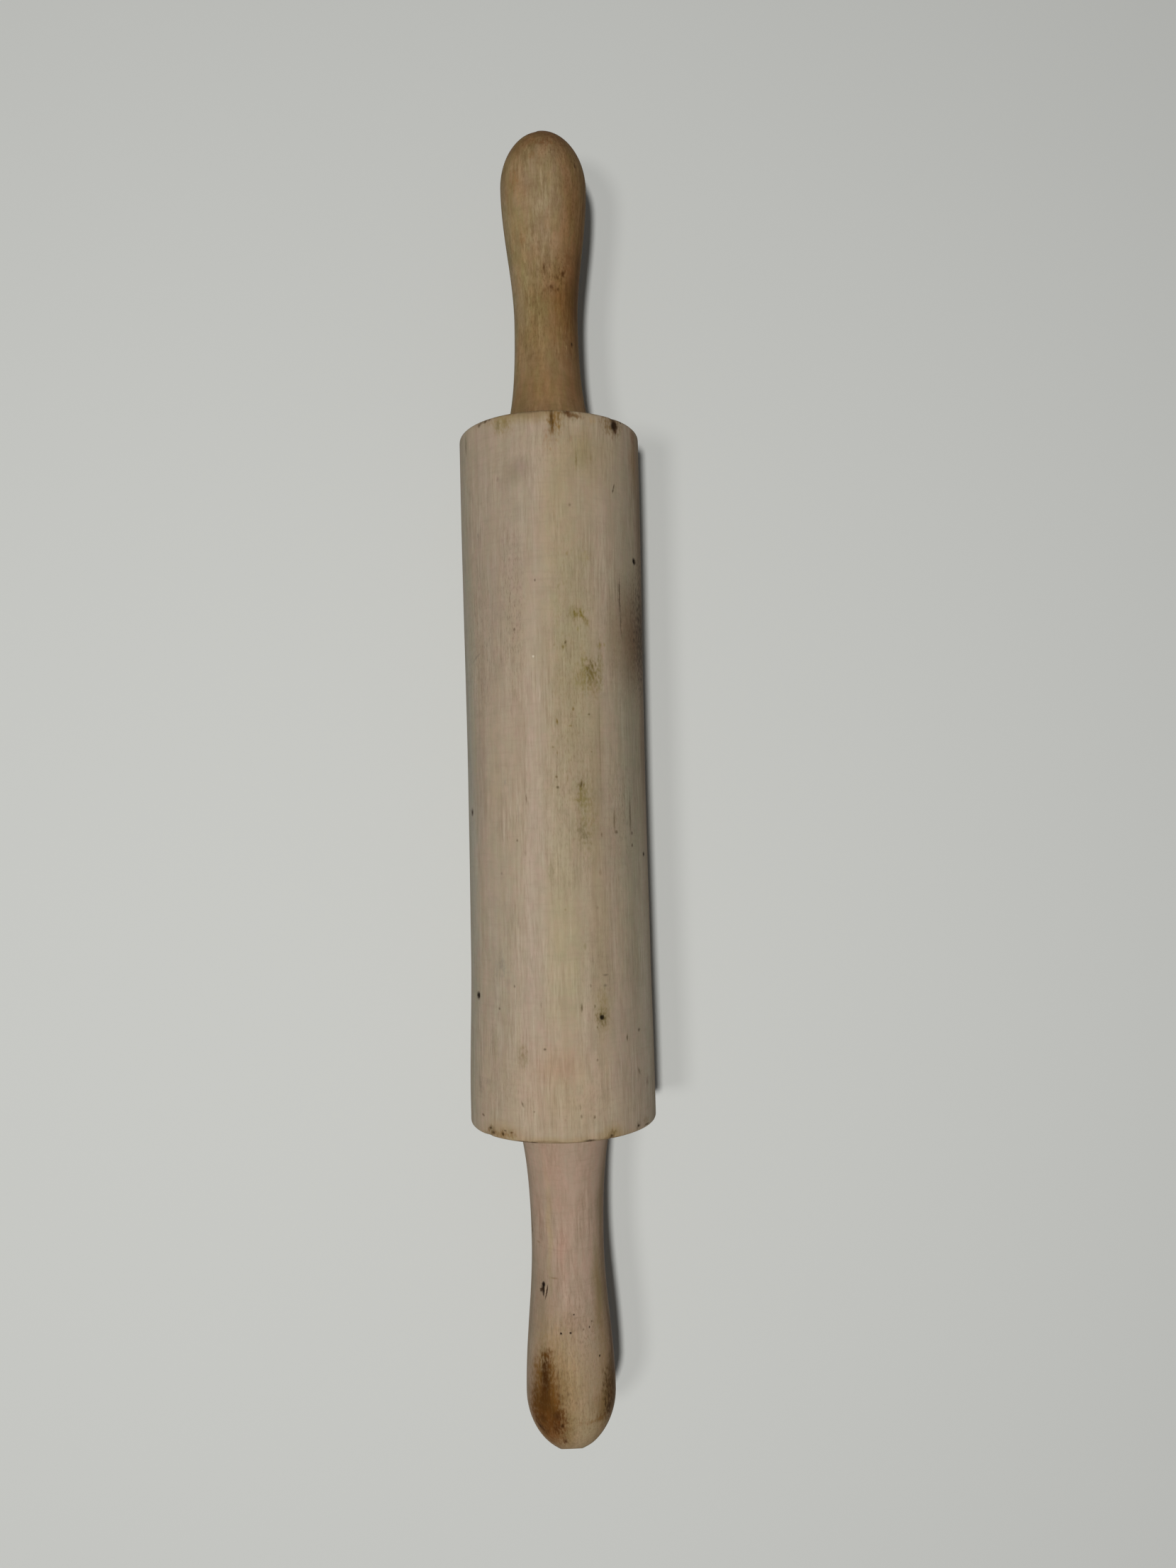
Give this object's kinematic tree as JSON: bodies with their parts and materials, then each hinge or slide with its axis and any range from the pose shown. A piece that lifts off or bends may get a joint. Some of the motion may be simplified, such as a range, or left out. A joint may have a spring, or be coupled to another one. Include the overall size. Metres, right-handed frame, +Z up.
{
  "type": "rolling pin",
  "caption": "Hand-turned wooden rolling pin whose bored barrel turns freely on a wooden axle between bulb-ended handles, for rolling out dough.",
  "frame": {"origin": "on the table under the middle of the pin's overall length, midway between the barrel's two end bands across the pin", "axes": "+Z up, +Y along the pin's axis towards the darker handle, +X to the right of the picture"},
  "size_m": [0.0598, 0.436, 0.0597],
  "materials": {
    "barrel_wood": "bare turned and sanded wood, dry and matt, fine lengthwise grain, a few olive and brown stains",
    "axle_wood": "bare planed dowel, matt",
    "dark_handle_wood": "bare turned wood darkened by use, matt to dull satin, short dark flecks",
    "pale_handle_wood": "bare turned wood with a pinkish band, matt, a split knot and dark brown stains at the end"
  },
  "bodies": {
    "barrel": {"barrel": "barrel_wood"},
    "handles": {"axle_rod": "axle_wood", "dark_handle": "dark_handle_wood", "pale_handle": "pale_handle_wood"}
  },
  "joints": [
    {"name": "handles_spin", "type": "hinge", "parent": "barrel", "child": "handles", "pos_m": [0, 0.0015, 0.02986], "axis": [0, 1, 0], "continuous": true}
  ]
}
